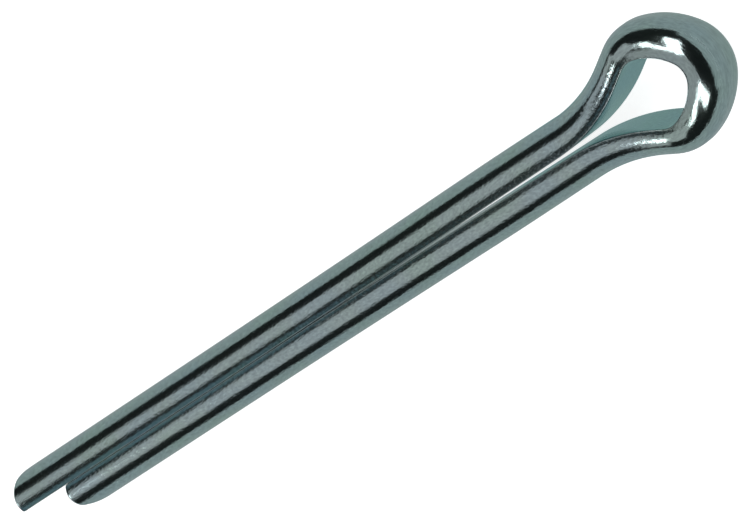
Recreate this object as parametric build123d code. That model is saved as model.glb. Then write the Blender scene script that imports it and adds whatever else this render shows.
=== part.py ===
from build123d import *
import os
from math import atan2, cos, degrees, radians, sin

# A cotter pin: one length of half-round wire, folded flat side in, into an eye and two legs.
# Sizes are in millimetres and degrees. The pin lies on its side, with its eye towards +X, its tips
# towards -X and its long leg on the +Y side. The origin is on the surface that it lies on, under
# the middle of the pin.

# The wire's section, a little less than half a circle
wire_width = 6.0
wire_thickness = 2.6
wire_edge_radius = 0.25

# The eye, measured on the wire's flat inner face
crown_radius = 1.65
crown_angle = 35.0
shoulder_radius = 4.7
shoulder_angle = 39.0
corner_radius = 1.6
eye_shift = 0.42

# The throat, where each side of the eye closes onto its leg
long_flare_angle = 31.0
short_flare_angle = 26.5
long_throat_radius = 14.2
short_throat_radius = 16.0

# The legs, which lie closer to each other at their tips than at the throat
throat_gap = 0.44
tip_gap = 0.10
short_leg_length = 55.1
tip_step = 4.55

# The tips, sheared square, with the round side rolled over by the blade
long_tip_roll_length = 0.7
long_tip_roll_depth = 0.4
short_tip_roll_length = 1.5
short_tip_roll_depth = 0.7
tip_edge_radius = 0.2


def heading(angle):
    """The unit vector in the loop's plane at this angle from +X."""
    return Vector(cos(radians(angle)), sin(radians(angle)), 0)


def wire_section():
    """The wire's section across the middle of the crown, with its flat face towards the legs."""
    across_crown = Plane(origin=(0, 0, 0), x_dir=(1, 0, 0), z_dir=(0, 1, 0))
    lower_edge = (0, -wire_width / 2)
    upper_edge = (0, wire_width / 2)
    with BuildSketch(across_crown) as section:
        with BuildLine():
            ThreePointArc(lower_edge, (wire_thickness, 0), upper_edge)
            Line(upper_edge, lower_edge)
        make_face()
        fillet(section.vertices(), wire_edge_radius)
    return section.sketch


def bend_edges(side, flare_angle, throat_radius):
    """The flat face's line from the middle of the crown to the end of the throat, as its edges in
    order. side is 1 for the long leg on the +Y side, and -1 for the short leg."""
    crown = JernArc((0, 0, 0), heading(90 * side), crown_radius, side * crown_angle)
    shoulder = JernArc(crown @ 1, crown % 1, shoulder_radius, side * shoulder_angle)
    corner_turn = 90 + flare_angle - crown_angle - shoulder_angle
    corner = JernArc(shoulder @ 1, shoulder % 1, corner_radius, side * corner_turn)
    # The flare is as long as it takes for the throat to end at the leg's own distance from the middle.
    leg_angle = degrees(atan2(throat_gap - tip_gap, 2 * short_leg_length))
    leg_offset = throat_gap / 2 - side * eye_shift
    throat_drop = throat_radius * (cos(radians(leg_angle)) - cos(radians(flare_angle)))
    flare_drop = side * (corner @ 1).Y - leg_offset - throat_drop
    flare_length = flare_drop / sin(radians(flare_angle))
    flare = Line(corner @ 1, corner @ 1 + (corner % 1) * flare_length)
    throat = JernArc(flare @ 1, flare % 1, throat_radius, side * (leg_angle - flare_angle))
    return [crown, shoulder, corner, flare, throat]


def flat_face_line(bends, leg_length):
    """The flat face's line from the middle of the crown through the bends to the tip."""
    throat = bends[-1]
    leg = Line(throat @ 1, throat @ 1 + (throat % 1) * leg_length)
    return Wire([*bends, leg])


def rolled_tip(half, line, side, roll_length, roll_depth):
    """One half of the pin with the round side of its tip rolled over and its end's edges eased."""
    beyond = wire_thickness
    tip_plane = Plane(origin=line @ 1, x_dir=line % 1, z_dir=(0, 0, -side))
    roll_start = (-roll_length, wire_thickness)
    roll_end = (0, wire_thickness - roll_depth)
    with BuildSketch(tip_plane) as waste:
        with BuildLine():
            TangentArc(roll_start, roll_end, tangent=(1, 0))
            Polyline(
                roll_end,
                (beyond, wire_thickness - roll_depth),
                (beyond, wire_thickness + beyond),
                (-roll_length, wire_thickness + beyond),
                roll_start,
            )
        make_face()
    half -= extrude(waste.sketch, amount=wire_width, both=True)
    end_face = half.faces().sort_by_distance(line @ 1)[0]
    return fillet(end_face.edges(), tip_edge_radius)


def build_pin():
    """The whole pin: two halves that meet in the middle of the crown, as one solid."""
    section = wire_section()
    short_bends = bend_edges(-1, short_flare_angle, short_throat_radius)
    short_line = flat_face_line(short_bends, short_leg_length)
    # The long leg ends a step beyond the short one, wherever its own throat ends.
    long_bends = bend_edges(1, long_flare_angle, long_throat_radius)
    long_tip_x = (short_line @ 1).X - tip_step
    long_leg_length = (long_tip_x - (long_bends[-1] @ 1).X) / (long_bends[-1] % 1).X
    long_line = flat_face_line(long_bends, long_leg_length)
    long_half = rolled_tip(
        sweep(section, path=long_line), long_line, 1, long_tip_roll_length, long_tip_roll_depth
    )
    short_half = rolled_tip(
        sweep(section, path=short_line), short_line, -1, short_tip_roll_length, short_tip_roll_depth
    )
    pin = long_half + short_half
    box = pin.bounding_box()
    return Location((-box.center().X, -box.center().Y, -box.min.Z)) * pin


cotter_pin = build_pin()
cotter_pin.label = "cotter_pin"
os.makedirs("parts", exist_ok=True)
export_step(cotter_pin, "parts/cotter_pin.step")
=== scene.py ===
import bpy
import numpy as np
from mathutils import Euler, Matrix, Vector


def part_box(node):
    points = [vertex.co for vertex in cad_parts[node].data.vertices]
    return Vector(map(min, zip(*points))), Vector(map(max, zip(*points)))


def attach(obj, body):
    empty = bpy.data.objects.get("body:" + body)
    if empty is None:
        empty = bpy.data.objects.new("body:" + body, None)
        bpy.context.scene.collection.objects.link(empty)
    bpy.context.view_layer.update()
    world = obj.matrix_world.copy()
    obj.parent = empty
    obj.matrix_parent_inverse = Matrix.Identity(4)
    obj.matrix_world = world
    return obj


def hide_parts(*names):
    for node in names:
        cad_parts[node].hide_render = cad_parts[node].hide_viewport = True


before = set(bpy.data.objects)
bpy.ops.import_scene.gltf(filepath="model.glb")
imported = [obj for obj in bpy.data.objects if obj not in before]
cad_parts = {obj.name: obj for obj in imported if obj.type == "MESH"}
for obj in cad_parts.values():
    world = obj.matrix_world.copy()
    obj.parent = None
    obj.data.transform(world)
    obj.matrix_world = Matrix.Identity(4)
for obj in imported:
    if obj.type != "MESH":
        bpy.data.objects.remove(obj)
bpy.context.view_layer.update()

mm = 0.001

# The wire and the path that its flat face follows, in millimetres and degrees. A leg's roll is the
# length and depth of its round side's roll-over at the tip. Its nose is how far the end stands out,
# the depth where it stands out most, and how far from there it falls to nothing.
pinValues = {
    "wireHeight": 5.892,
    "wireThickness": 2.6,
    "wireEdgeRadius": 0.08,
    "crown": (1.65, 35.0),          # radius, turn
    "shoulder": (4.7, 39.0),
    "cornerRadius": 1.6,
    "eyeShift": 0.42,
    "longLeg": {
        "side": 1,
        "flareAngle": 31.0,
        "throatRadius": 14.2,
        "length": 58.98,
        "roll": (0.7, 0.4),
        "nose": (0.35, 1.2, 1.3),
    },
    "shortLeg": {
        "side": -1,
        "flareAngle": 26.5,
        "throatRadius": 16.0,
        "length": 55.0,
        "roll": (1.5, 0.7),
        "nose": (0.65, 1.5, 1.6),
    },
    "throatGap": 0.40,
    "tipGap": 0.01,
    "bendLength": 38.0,
    "crownThinning": -0.05,         # what the wire's depth gains, at the crown and in the legs
    "legSwelling": 0.12,
    "swellingStart": 8.0,           # where along the wire one turns into the other
    "swellingLength": 16.0,
    "tipEdgeRadius": 0.2,
    "tipMiddle": 0.42,              # share of the depth that the eased end shrinks towards
    "noseFade": 3.0,
    "ringSpacing": 0.3,
    "outerReach": 2.5,              # how far out from the flat face the spacing holds in a bend
    "tipMargin": 1.1,               # roll lengths from the end where the closer rings start
    "tipClearance": 0.05,
    "rollRings": 16,
    "endRings": 9,
    "roundPoints": 38,
    "edgePoints": 8,
    "flatPoints": 7,
}


def arcRun(start, heading, radius, turn, spacing):
    # Arc: the heading grows evenly by turn, and a point is the centre plus radius times the side vector
    sense = np.sign(turn)
    count = max(3, int(np.ceil(abs(turn) * (radius + pinValues["outerReach"]) / spacing)) + 1)
    headings = heading + np.linspace(0, turn, count)
    centre = start + sense * radius * np.array([-np.sin(heading), np.cos(heading)])
    points = centre + sense * radius * np.stack([np.sin(headings), -np.cos(headings)], axis=1)
    return points, headings, np.abs(headings - heading) * radius


def lineRun(start, heading, length, spacing):
    # Line: start plus distance times the heading's unit vector
    count = max(2, int(np.ceil(length / spacing)) + 1)
    along = np.linspace(0, length, count)
    points = start + along[:, None] * np.array([np.cos(heading), np.sin(heading)])
    return points, np.full(count, heading), along


def extendRuns(runs, makeRun, *values):
    # One more run, from the last one's end and heading
    points, headings, along = runs[-1]
    runs.append(makeRun(points[-1], headings[-1], *values))


def halfPath(leg):
    # The flat face's line from the crown's middle to one tip, as points, headings and distances.
    # The leg bends gently back from the throat's angle until it runs straight to its tip.
    v = pinValues
    spacing = v["ringSpacing"]
    flare = np.radians(leg["flareAngle"])
    crownRadius, crownTurn = v["crown"][0], np.radians(v["crown"][1])
    shoulderRadius, shoulderTurn = v["shoulder"][0], np.radians(v["shoulder"][1])
    cornerTurn = np.pi / 2 + flare - crownTurn - shoulderTurn
    legAngle = 2 * np.arctan2((v["throatGap"] - v["tipGap"]) / 2, v["bendLength"])
    runs = [arcRun(np.zeros(2), np.pi / 2, crownRadius, crownTurn, spacing)]
    extendRuns(runs, arcRun, shoulderRadius, shoulderTurn, spacing)
    extendRuns(runs, arcRun, v["cornerRadius"], cornerTurn, spacing)
    # The flare is as long as it takes for the throat to end at the leg's distance from the middle
    legOffset = v["throatGap"] / 2 - leg["side"] * v["eyeShift"]
    throatDrop = leg["throatRadius"] * (np.cos(legAngle) - np.cos(flare))
    flareLength = (runs[-1][0][-1][1] - legOffset - throatDrop) / np.sin(flare)
    extendRuns(runs, lineRun, flareLength, spacing)
    extendRuns(runs, arcRun, leg["throatRadius"], legAngle - flare, spacing)
    bendRadius = v["bendLength"] / np.sin(legAngle)
    bendSpacing = spacing * (bendRadius + v["outerReach"]) / bendRadius
    extendRuns(runs, arcRun, bendRadius, -legAngle, bendSpacing)
    extendRuns(runs, lineRun, leg["length"] - v["bendLength"], spacing)
    starts = np.cumsum([0] + [run[2][-1] for run in runs[:-1]])
    points = np.concatenate([run[0][min(1, i):] for i, run in enumerate(runs)])
    headings = np.concatenate([run[1][min(1, i):] for i, run in enumerate(runs)])
    along = np.concatenate([run[2][min(1, i):] + starts[i] for i, run in enumerate(runs)])
    sides = np.stack([np.sin(headings), -np.cos(headings)], axis=1)
    mirror = np.array([1, leg["side"]])
    return points * mirror, sides * mirror, along


def tipPath(leg):
    # The half's path with closer steps near its tip: even ones along the roll-over, then ones that
    # follow the sine round the eased edge. Also each step's distance to the end, and the heading there.
    v = pinValues
    points, sides, along = halfPath(leg)
    tipRadius = v["tipEdgeRadius"]
    tipStart = leg["roll"][0] * v["tipMargin"]
    rollRun = np.linspace(tipStart, tipRadius, v["rollRings"])
    endRun = np.sin(np.linspace(0, np.pi / 2, v["endRings"] + 1)[1:]) * tipRadius
    tail = np.concatenate([rollRun, tipRadius - endRun])
    toEnd = along[-1] - along
    keep = toEnd > tipStart + v["tipClearance"]
    heading = points[-1] - points[-2]
    heading = heading / np.linalg.norm(heading)
    points = np.concatenate([points[keep], points[-1] - tail[:, None] * heading])
    sides = np.concatenate([sides[keep], np.repeat(sides[-1:], len(tail), axis=0)])
    along = np.concatenate([along[keep], along[-1] - tail])
    toEnd = np.concatenate([toEnd[keep], tail])
    return points, sides, along, toEnd, heading


def wireSection():
    # The section as a closed line of depth from the flat face and height across the wire. The round
    # side is a quarter circle as deep as the wire, from the crest to the edge; a small arc turns it
    # into the flat side; the other half is its mirror image.
    v = pinValues
    deep = v["wireThickness"]
    edge = v["wireEdgeRadius"]
    reach = np.sqrt((deep - edge) ** 2 - edge ** 2)
    crest = v["wireHeight"] / 2 - reach - edge
    turn = np.arcsin(edge / (deep - edge))
    roundTurn = np.linspace(np.pi / 2, turn, v["roundPoints"])
    edgeTurn = np.linspace(turn, -np.pi / 2, v["edgePoints"])[1:]
    flat = np.linspace(crest + reach, 0, v["flatPoints"])[1:]
    depth = np.concatenate([[deep], deep * np.sin(roundTurn), edge + edge * np.sin(edgeTurn), 0 * flat])
    height = np.concatenate([
        [0],
        crest + deep * np.cos(roundTurn),
        crest + reach + edge * np.cos(edgeTurn),
        flat,
    ])
    depth = np.concatenate([depth, depth[1:-1][::-1]])
    height = np.concatenate([height, -height[1:-1][::-1]])
    return depth, height


def halfSurface(leg):
    # A ring is the section set at a point of the path: point plus depth times the side vector, with
    # height along Z. The same points on the straightened wire carry the material's patterns.
    v = pinValues
    points, sides, along, toEnd, heading = tipPath(leg)
    depth, height = wireSection()
    thickness = v["wireThickness"]
    tipRadius = v["tipEdgeRadius"]
    # The roll-over is an arc that leaves the round side smoothly and cuts it down by the roll's depth
    rollLength, rollDepth = leg["roll"]
    rollRadius = (rollLength ** 2 + rollDepth ** 2) / (2 * rollDepth)
    rolled = np.clip(rollLength - toEnd, 0, rollLength)
    drop = rollRadius - np.sqrt(rollRadius ** 2 - rolled ** 2)
    ringDepth = np.minimum(depth[None, :], (thickness - drop)[:, None])
    # The eased edge is a quarter circle, by which the last rings shrink
    inset = tipRadius - np.sqrt(tipRadius ** 2 - np.clip(tipRadius - toEnd, 0, tipRadius) ** 2)
    middle = thickness * v["tipMiddle"]
    shrink = 1 - inset / (thickness / 2)
    ringDepth = middle + (ringDepth - middle) * shrink[:, None]
    ringHeight = height[None, :] * (1 - inset / (v["wireHeight"] / 2))[:, None]
    # The depth's gain follows a smooth step from the crown's to the legs'
    ease = np.clip((along - v["swellingStart"]) / v["swellingLength"], 0, 1)
    swelling = v["legSwelling"] - v["crownThinning"]
    extra = v["crownThinning"] + swelling * ease * ease * (3 - 2 * ease)
    ringDepth = ringDepth * (1 + extra / thickness)[:, None]
    # The nose is a parabola over the depth, and fades out away from the end
    noseLength, noseDepth, noseReach = leg["nose"]
    nose = noseLength * (1 - ((ringDepth - noseDepth) / noseReach) ** 2)
    nose = np.maximum(nose, -noseLength) * np.clip(1 - toEnd / v["noseFade"], 0, 1)[:, None]
    x = points[:, 0][:, None] + ringDepth * sides[:, 0][:, None] + nose * heading[0]
    y = points[:, 1][:, None] + ringDepth * sides[:, 1][:, None] + nose * heading[1]
    rings = np.stack([x, y, ringHeight], axis=2)
    alongWire = leg["side"] * np.repeat(along[:, None], len(depth), axis=1)
    wire = np.stack([alongWire, ringDepth, ringHeight], axis=2)
    return rings, wire


def gridFaces(ringCount, ringSize):
    # Quads between each ring and the next, with the last column joined to the first
    ring = np.arange(ringCount - 1)[:, None] * ringSize
    column = np.arange(ringSize)[None, :]
    after = (column + 1) % ringSize
    nextRing = ring + ringSize
    quads = np.stack([ring + column, ring + after, nextRing + after, nextRing + column], axis=2)
    return quads.reshape(-1, 4)


def fanFaces(ringStart, ringSize, pole, outward):
    # Triangles from a ring to its pole
    column = np.arange(ringSize)
    after = (column + 1) % ringSize
    first, second = (column, after) if outward else (after, column)
    return np.stack([ringStart + first, ringStart + second, np.full(ringSize, pole)], axis=1)


def addMesh(name, vertices, quads, triangles):
    # A mesh from arrays: its points, then each face as a row of point numbers
    mesh = bpy.data.meshes.new(name)
    mesh.vertices.add(len(vertices))
    mesh.vertices.foreach_set("co", vertices.astype(np.float32).ravel())
    corners = np.concatenate([quads.ravel(), triangles.ravel()]).astype(np.int32)
    sizes = np.concatenate([np.full(len(quads), 4), np.full(len(triangles), 3)])
    mesh.loops.add(len(corners))
    mesh.loops.foreach_set("vertex_index", corners)
    mesh.polygons.add(len(sizes))
    mesh.polygons.foreach_set("loop_start", np.concatenate([[0], np.cumsum(sizes)[:-1]]).astype(np.int32))
    mesh.update(calc_edges=True)
    mesh.validate()
    mesh.shade_smooth()
    thing = bpy.data.objects.new(name, mesh)
    bpy.context.scene.collection.objects.link(thing)
    return thing


def makePin():
    # Rings from the long tip round the eye to the short tip, closed by a fan of triangles at each end.
    # The pin is centred on the CAD node's box in y and z, and its crown meets the box's high x.
    longRings, longWire = halfSurface(pinValues["longLeg"])
    shortRings, shortWire = halfSurface(pinValues["shortLeg"])
    rings = np.concatenate([longRings[::-1], shortRings[1:]])
    wire = np.concatenate([longWire[::-1], shortWire[1:]])
    ringCount, ringSize = rings.shape[:2]
    ends = np.stack([rings[0].mean(axis=0), rings[-1].mean(axis=0)])
    wireEnds = np.stack([wire[0].mean(axis=0), wire[-1].mean(axis=0)])
    vertices = np.concatenate([rings.reshape(-1, 3), ends])
    low, high = np.array(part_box("cotter_pin")) / mm
    middle = (vertices.min(axis=0) + vertices.max(axis=0)) / 2
    shift = (low + high) / 2 - middle
    shift[0] = high[0] - vertices[:, 0].max()
    vertices = (vertices + shift) * mm
    last = ringCount * ringSize
    caps = np.concatenate([
        fanFaces(0, ringSize, last, False),
        fanFaces(last - ringSize, ringSize, last + 1, True),
    ])
    pin = addMesh("cotterPin", vertices, gridFaces(ringCount, ringSize), caps)
    straight = pin.data.attributes.new("straightWire", "FLOAT_VECTOR", "POINT")
    wirePoints = np.concatenate([wire.reshape(-1, 3), wireEnds])
    straight.data.foreach_set("vector", wirePoints.astype(np.float32).ravel())
    return pin


# The zinc plating. Scales are in features per millimetre of wire, heights in metres
zincValues = {
    "colour": (0.50, 0.61, 0.615),
    "blueColour": (0.485, 0.60, 0.635),
    "greenColour": (0.49, 0.62, 0.59),
    "colourPlaces": (0.36, 0.5, 0.64),      # green, plain and blue, along the tint's noise
    "tintScale": 0.22,
    "tintDetail": 2,
    "roughness": 0.12,
    "speckleScale": 5.5,
    "speckleStretch": 0.6,
    "speckleDetail": 3,
    "speckleHeight": 0.0000095,
    "speckleShade": 0.13,
    "speckleRange": (0.3, 0.7),             # where the speckle's noise is darkest and brightest
    "drawnScale": 3.0,
    "drawnStretch": 0.08,
    "drawnDetail": 2,
    "drawnHeight": 0.000007,
}


def noiseNode(nodes, links, vector, scale, stretch, detail):
    # Noise whose features are longer along the wire than across it
    mapping = nodes.new("ShaderNodeMapping")
    mapping.inputs["Scale"].default_value = (stretch, 1, 1)
    noise = nodes.new("ShaderNodeTexNoise")
    noise.inputs["Scale"].default_value = scale
    noise.inputs["Detail"].default_value = detail
    links.new(vector, mapping.inputs["Vector"])
    links.new(mapping.outputs["Vector"], noise.inputs["Vector"])
    return noise.outputs["Fac"]


def bumpNode(nodes, links, height, distance, normal):
    # The normal, tilted by the slope of height times distance
    bump = nodes.new("ShaderNodeBump")
    bump.inputs["Distance"].default_value = distance
    links.new(height, bump.inputs["Height"])
    if normal:
        links.new(normal, bump.inputs["Normal"])
    return bump.outputs["Normal"]


def rampNode(nodes, links, fac, stops):
    # A colour between the two stops that lie on either side of fac
    ramp = nodes.new("ShaderNodeValToRGB")
    elements = ramp.color_ramp.elements
    while len(elements) < len(stops):
        elements.new(0.5)
    for element, (position, colour) in zip(elements, stops):
        element.position = position
        element.color = (*colour, 1)
    links.new(fac, ramp.inputs["Fac"])
    return ramp.outputs["Color"]


def zincMaterial():
    # The colour is the drifting tint times one plus or minus the speckle's shade. The normal takes
    # the drawing lines first and then the speckle.
    v = zincValues
    material = bpy.data.materials.new("zincPlating")
    material.use_nodes = True
    nodes = material.node_tree.nodes
    links = material.node_tree.links
    shader = nodes["Principled BSDF"]
    shader.inputs["Metallic"].default_value = 1
    shader.inputs["Roughness"].default_value = v["roughness"]
    wire = nodes.new("ShaderNodeAttribute")
    wire.attribute_name = "straightWire"
    along = wire.outputs["Vector"]
    tint = noiseNode(nodes, links, along, v["tintScale"], 1, v["tintDetail"])
    colours = (v["greenColour"], v["colour"], v["blueColour"])
    plating = rampNode(nodes, links, tint, list(zip(v["colourPlaces"], colours)))
    speckle = noiseNode(nodes, links, along, v["speckleScale"], v["speckleStretch"], v["speckleDetail"])
    shade = nodes.new("ShaderNodeMapRange")
    shade.inputs["From Min"].default_value = v["speckleRange"][0]
    shade.inputs["From Max"].default_value = v["speckleRange"][1]
    shade.inputs["To Min"].default_value = 1 - v["speckleShade"]
    shade.inputs["To Max"].default_value = 1 + v["speckleShade"]
    links.new(speckle, shade.inputs["Value"])
    shaded = nodes.new("ShaderNodeVectorMath")
    shaded.operation = "SCALE"
    links.new(plating, shaded.inputs[0])
    links.new(shade.outputs["Result"], shaded.inputs["Scale"])
    links.new(shaded.outputs["Vector"], shader.inputs["Base Color"])
    drawn = noiseNode(nodes, links, along, v["drawnScale"], v["drawnStretch"], v["drawnDetail"])
    normal = bumpNode(nodes, links, drawn, v["drawnHeight"], None)
    normal = bumpNode(nodes, links, speckle, v["speckleHeight"], normal)
    links.new(normal, shader.inputs["Normal"])
    return material


pin = makePin()
pin.data.materials.append(zincMaterial())
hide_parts("cotter_pin")
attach(pin, "root")
print("pin:", len(pin.data.vertices), "points")

# The floor, white to the camera, with a glowing grey card that only the metal sees: a painted reflection
# of the table, with a painted shadow of the eye
floorValues = {
    "size": 6.0,
    "colour": (0.80, 0.80, 0.80),
    "roughness": 0.9,
    "lift": 0.87,
    "cardSize": 1.2,
    "cardHeight": 0.00002,
    # The card's glow is a painted reflection of the lit table; the shade values paint the eye's shadow
    # into that glow
    "reflectionGlowColour": (0.335, 0.385, 0.38),
    "paintedShadeColour": (0.215, 0.33, 0.325),
    "paintedShadePlace": (0.0245, 0, 0),
    "paintedShadeSize": (0.0128, 0.0062, 1),
    "paintedShadeFull": 0.3,               # share of the way in from its rim where the shade is full
}


def flatSheet(name, size, height):
    # Square: two by two points at one height
    half = size / 2
    corners = np.array([
        [-half, -half, height],
        [half, -half, height],
        [half, half, height],
        [-half, half, height],
    ])
    return addMesh(name, corners, np.array([[0, 1, 2, 3]]), np.zeros((0, 3), int))


def seenRays(nodes, links):
    # Camera, glossy and transmission rays added up, and no more than one
    path = nodes.new("ShaderNodeLightPath")
    first = nodes.new("ShaderNodeMath")
    links.new(path.outputs["Is Camera Ray"], first.inputs[0])
    links.new(path.outputs["Is Glossy Ray"], first.inputs[1])
    total = nodes.new("ShaderNodeMath")
    total.use_clamp = True
    links.new(first.outputs["Value"], total.inputs[0])
    links.new(path.outputs["Is Transmission Ray"], total.inputs[1])
    return total.outputs["Value"]


def makeFloor():
    # Paper that takes the pin's shadow, and glows by the lift where it is seen
    floor = flatSheet("floor", floorValues["size"], 0)
    material = bpy.data.materials.new("floorPaper")
    material.use_nodes = True
    nodes = material.node_tree.nodes
    links = material.node_tree.links
    shader = nodes["Principled BSDF"]
    shader.inputs["Base Color"].default_value = (*floorValues["colour"], 1)
    shader.inputs["Roughness"].default_value = floorValues["roughness"]
    lift = nodes.new("ShaderNodeMath")
    lift.operation = "MULTIPLY"
    lift.inputs[1].default_value = floorValues["lift"]
    links.new(seenRays(nodes, links), lift.inputs[0])
    shader.inputs["Emission Color"].default_value = (1, 1, 1, 1)
    links.new(lift.outputs["Value"], shader.inputs["Emission Strength"])
    floor.data.materials.append(material)


def hideFromLight(thing):
    # Only mirror-like rays meet it
    thing.visible_camera = False
    thing.visible_diffuse = False
    thing.visible_shadow = False


def makePaintedReflectionCard():
    # A glowing card, a painted reflection of the lit table, with the eye's shadow painted into its glow:
    # a spherical gradient squeezed to an oval
    card = flatSheet("paintedReflectionCard", floorValues["cardSize"], floorValues["cardHeight"])
    material = bpy.data.materials.new("paintedReflectionGlow")
    material.use_nodes = True
    nodes = material.node_tree.nodes
    links = material.node_tree.links
    shader = nodes["Principled BSDF"]
    shader.inputs["Base Color"].default_value = (0, 0, 0, 1)
    shader.inputs["Specular IOR Level"].default_value = 0
    shader.inputs["Emission Strength"].default_value = 1
    # Painted shadow: inside the oval under the eye the glow fades from the reflection colour to the shade
    # colour
    place = nodes.new("ShaderNodeTexCoord")
    mapping = nodes.new("ShaderNodeMapping")
    mapping.vector_type = "TEXTURE"
    mapping.inputs["Location"].default_value = floorValues["paintedShadePlace"]
    mapping.inputs["Scale"].default_value = floorValues["paintedShadeSize"]
    oval = nodes.new("ShaderNodeTexGradient")
    oval.gradient_type = "SPHERICAL"
    links.new(place.outputs["Object"], mapping.inputs["Vector"])
    links.new(mapping.outputs["Vector"], oval.inputs["Vector"])
    stops = [(0.0, floorValues["reflectionGlowColour"]), (floorValues["paintedShadeFull"], floorValues["paintedShadeColour"])]
    links.new(rampNode(nodes, links, oval.outputs["Fac"], stops), shader.inputs["Emission Color"])
    card.data.materials.append(material)
    hideFromLight(card)


# Black screens that stand round the table, in metres. Their faint teal glow is painted light, seen in the
# metal's dark bands.
screenValues = {
    "distance": 1.3,
    "height": 2.6,
    "colour": (0.012, 0.014, 0.013),
    "roughness": 1,
    "glow": 0.011,
    "glowColour": (0.85, 1, 0.97),
}


def makeScreens():
    # Four walls and a lid: a square ring of points at the floor and one at the top
    d = screenValues["distance"]
    corners = np.array([[-d, -d], [d, -d], [d, d], [-d, d]])
    low = np.column_stack([corners, np.zeros(4)])
    high = np.column_stack([corners, np.full(4, screenValues["height"])])
    faces = np.concatenate([gridFaces(2, 4)[:, ::-1], [[7, 6, 5, 4]]])
    screens = addMesh("blackScreens", np.concatenate([low, high]), faces, np.zeros((0, 3), int))
    material = bpy.data.materials.new("glowingBlackCloth")
    material.use_nodes = True
    shader = material.node_tree.nodes["Principled BSDF"]
    shader.inputs["Base Color"].default_value = (*screenValues["colour"], 1)
    # Painted light: the black cloth glows faintly teal though it is no lamp
    shader.inputs["Emission Color"].default_value = (*screenValues["glowColour"], 1)
    shader.inputs["Emission Strength"].default_value = screenValues["glow"]
    shader.inputs["Roughness"].default_value = screenValues["roughness"]
    shader.inputs["Specular IOR Level"].default_value = 0
    screens.data.materials.append(material)
    hideFromLight(screens)


makeFloor()
makePaintedReflectionCard()
makeScreens()
print("floor, card and screens")

# Lamps, each aimed at the pin: azimuth and elevation of its middle, its width and height, all in
# degrees as the pin sees them, its distance in metres, its brightness and its colour
neutral = (1, 1, 1)
paperTint = (0.87, 1.0, 0.985)
blueTint = (0.62, 0.95, 1.08)
lampValues = {
    "softboxLeft": (60, 48.5, 14, 39, 0.80, 2.8, neutral),
    "softboxRight": (-68, 47, 11, 36, 0.80, 2.8, neutral),
    "barLeft": (76, 62, 18, 9, 0.80, 2.4, neutral),
    "barRight": (-83, 62, 20, 9, 0.80, 2.0, neutral),
    "stripLeft": (95, 52, 9, 16, 0.80, 2.6, neutral),
    "stripRight": (-99, 52, 8, 17, 0.80, 2.4, neutral),
    "panelLeft": (125, 40.5, 30, 28, 0.90, 0.44, neutral),
    "panelRight": (-128, 41, 31, 32, 0.90, 0.44, neutral),
    "lowLeft": (147, 17, 22, 16, 0.90, 0.44, neutral),
    "lowRight": (-146, 15, 20, 13, 0.90, 0.44, neutral),
    "spotLeft": (155.5, 34, 10, 14, 0.80, 4.0, neutral),
    "spotRight": (-148, 29, 12.5, 14, 0.80, 3.2, neutral),
    "frontPaper": (0, 1, 130, 46, 0.90, 0.39, paperTint),
    "ceiling": (180, 86, 52, 44, 0.90, 0.37, neutral),
    "backGlow": (180, 51, 22, 14, 0.95, 0.17, blueTint),
}
ovalLamps = ("frontPaper",)


def makeLamp(name, azimuth, elevation, width, height, distance, brightness, colour):
    # A side is twice the distance times the tangent of half its angle. Power is pi times the area
    # times the brightness, and an oval has pi over four of its sides' area.
    light = bpy.data.lights.new(name, "AREA")
    light.shape = "ELLIPSE" if name in ovalLamps else "RECTANGLE"
    light.size = 2 * distance * np.tan(np.radians(width) / 2)
    light.size_y = 2 * distance * np.tan(np.radians(height) / 2)
    light.energy = np.pi * light.size * light.size_y * brightness
    if name in ovalLamps:
        light.energy *= np.pi / 4
    light.color = colour
    a, e = np.radians([azimuth, elevation])
    place = distance * Vector((np.cos(e) * np.cos(a), np.cos(e) * np.sin(a), np.sin(e)))
    lamp = bpy.data.objects.new(name, light)
    lamp.location = place
    lamp.rotation_euler = (-place).to_track_quat("-Z", "Y").to_euler()
    lamp.visible_camera = False
    bpy.context.scene.collection.objects.link(lamp)


for name, values in lampValues.items():
    makeLamp(name, *values)

worldValues = {"fill": 0.10}


def makeWorld():
    # White where it is seen, and a dim fill for the rest
    world = bpy.data.worlds.new("room")
    world.use_nodes = True
    nodes = world.node_tree.nodes
    links = world.node_tree.links
    background = nodes["Background"]
    background.inputs["Color"].default_value = (1, 1, 1, 1)
    strength = nodes.new("ShaderNodeMath")
    strength.operation = "MAXIMUM"
    strength.inputs[1].default_value = worldValues["fill"]
    links.new(seenRays(nodes, links), strength.inputs[0])
    links.new(strength.outputs["Value"], background.inputs["Strength"])
    bpy.context.scene.world = world


makeWorld()
bpy.context.scene.view_settings.view_transform = "Standard"
print("lamps:", len(lampValues))

# The camera, from the photograph's perspective: place in metres, turn in degrees, lens and sensor
# in millimetres
cameraValues = {
    "place": (0.201594, 0.009961, 0.332624),
    "turn": (-19.836, 24.649, -38.2345),
    "lens": 240.0,
    "sensor": 36.0,
}


def makeCamera():
    data = bpy.data.cameras.new("camera")
    data.sensor_width = cameraValues["sensor"]
    data.lens = cameraValues["lens"]
    camera = bpy.data.objects.new("camera", data)
    camera.location = cameraValues["place"]
    camera.rotation_euler = Euler(np.radians(cameraValues["turn"]))
    bpy.context.scene.collection.objects.link(camera)
    bpy.context.scene.camera = camera


makeCamera()
print("camera")
